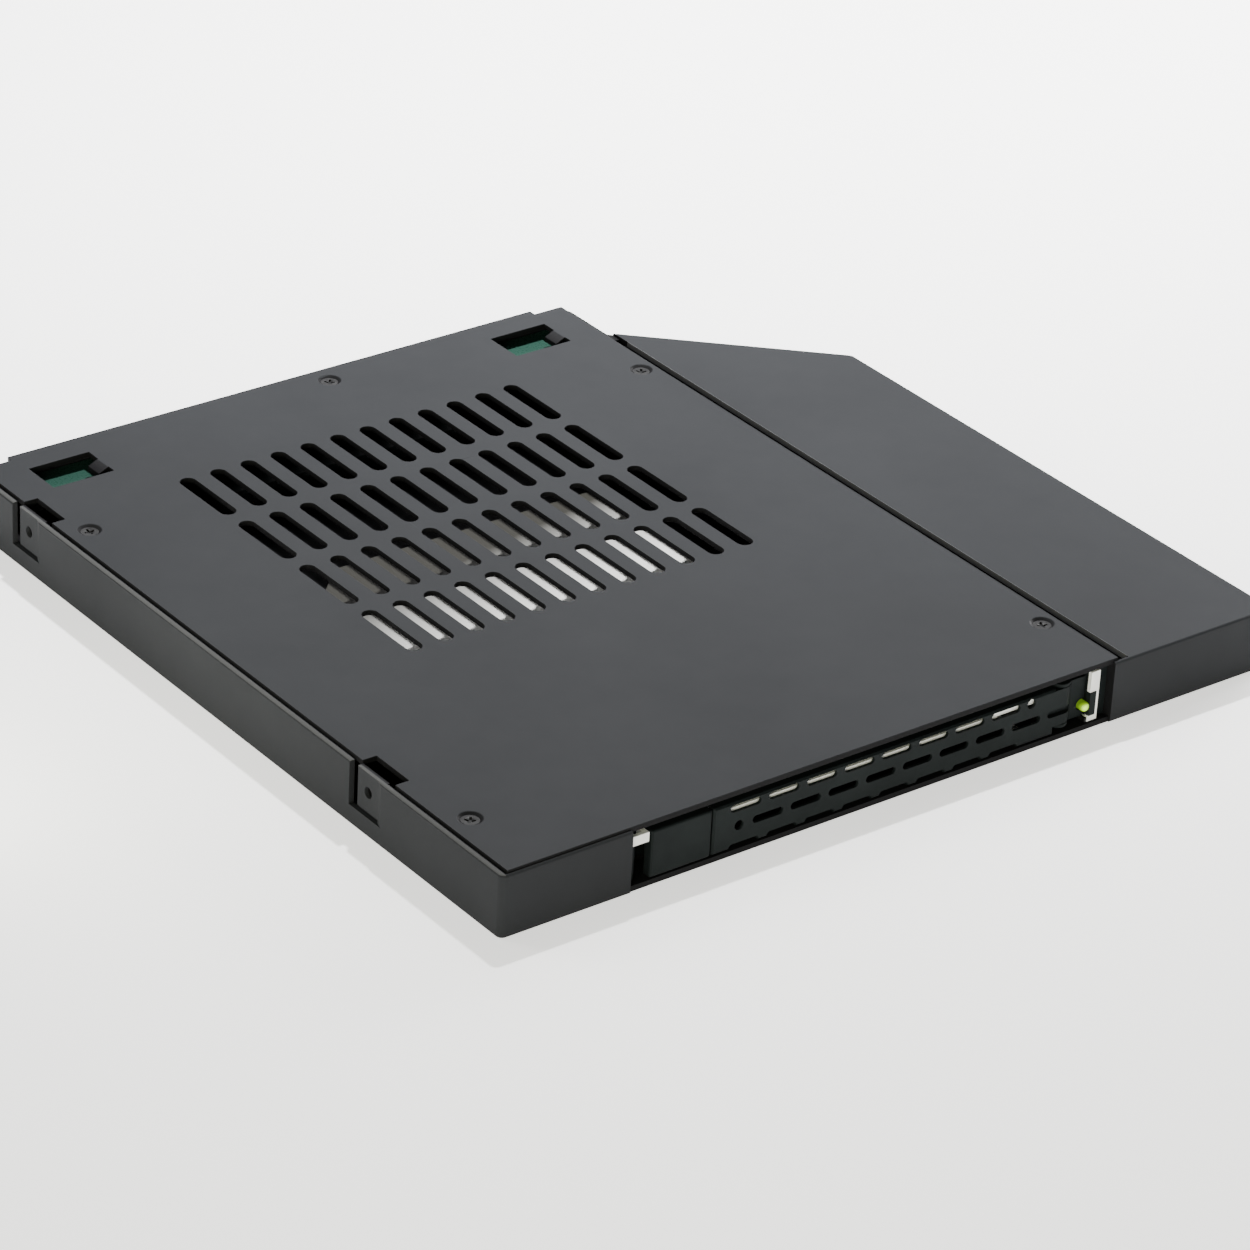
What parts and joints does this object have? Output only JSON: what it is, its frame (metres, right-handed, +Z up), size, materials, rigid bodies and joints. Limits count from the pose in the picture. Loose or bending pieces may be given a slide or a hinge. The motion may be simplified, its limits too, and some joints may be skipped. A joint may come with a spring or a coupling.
{
  "type": "drive caddy",
  "caption": "Flat dark metal bay caddy with a vented cover, a slanted wing on one side and a pull-out tray for a small laptop drive, with a perforated swing handle and a push button.",
  "frame": {"origin": "centre of the bounding box's bottom, on the underside of the housing's floor", "axes": "+X to the right along the front towards the wing, +Y from the front face with the handle to the rear lip, +Z up through the cover"},
  "size_m": [0.128, 0.1262, 0.0095],
  "materials": {
    "dark_paint": "fine-textured satin dark grey paint on steel sheet",
    "plated_steel": "plated steel",
    "dark_steel": "blackened steel screws",
    "black_plastic": "matte black moulded plastic",
    "green_board": "green solder mask",
    "gold_contact": "gold-plated contacts",
    "clear_green": "clear plastic lit green",
    "tan_chip": "ceramic chip capacitors",
    "zinc_steel": "bright zinc-plated steel sheet"
  },
  "bodies": {
    "housing": {"lower_housing": "dark_paint", "top_cover": "dark_paint", "cover_screws": "dark_steel", "cover_standoffs": "plated_steel", "left_guide_rail": "black_plastic", "right_guide_rail": "black_plastic", "backplane_board": "green_board", "board_standoffs": "plated_steel", "board_screws": "plated_steel", "drive_socket": "black_plastic", "socket_contacts": "gold_contact", "host_connector": "black_plastic", "host_contacts": "gold_contact", "status_led": "clear_green", "board_capacitors": "tan_chip"},
    "tray": {"tray_pan": "zinc_steel", "drive_pins": "plated_steel", "latch_block": "black_plastic", "hinge_block": "black_plastic", "handle_pin": "plated_steel", "release_spring": "plated_steel", "light_pipe": "clear_green"},
    "handle": {"handle": "black_plastic"},
    "button": {"release_button": "black_plastic"}
  },
  "joints": [
    {"name": "tray_slide", "type": "slide", "parent": "housing", "child": "tray", "axis": [0, -1, 0], "range_m": [0, 0.112]},
    {"name": "handle_swing", "type": "hinge", "parent": "tray", "child": "handle", "pos_m": [0.0276, -0.06115, 0.0049], "axis": [0, 0, 1], "range_deg": [0, 80]},
    {"name": "button_press", "type": "slide", "parent": "tray", "child": "button", "axis": [0, 1, 0], "range_m": [0, 0.0012], "stiffness_N_per_m": 300, "deforming": ["release_spring"]}
  ]
}
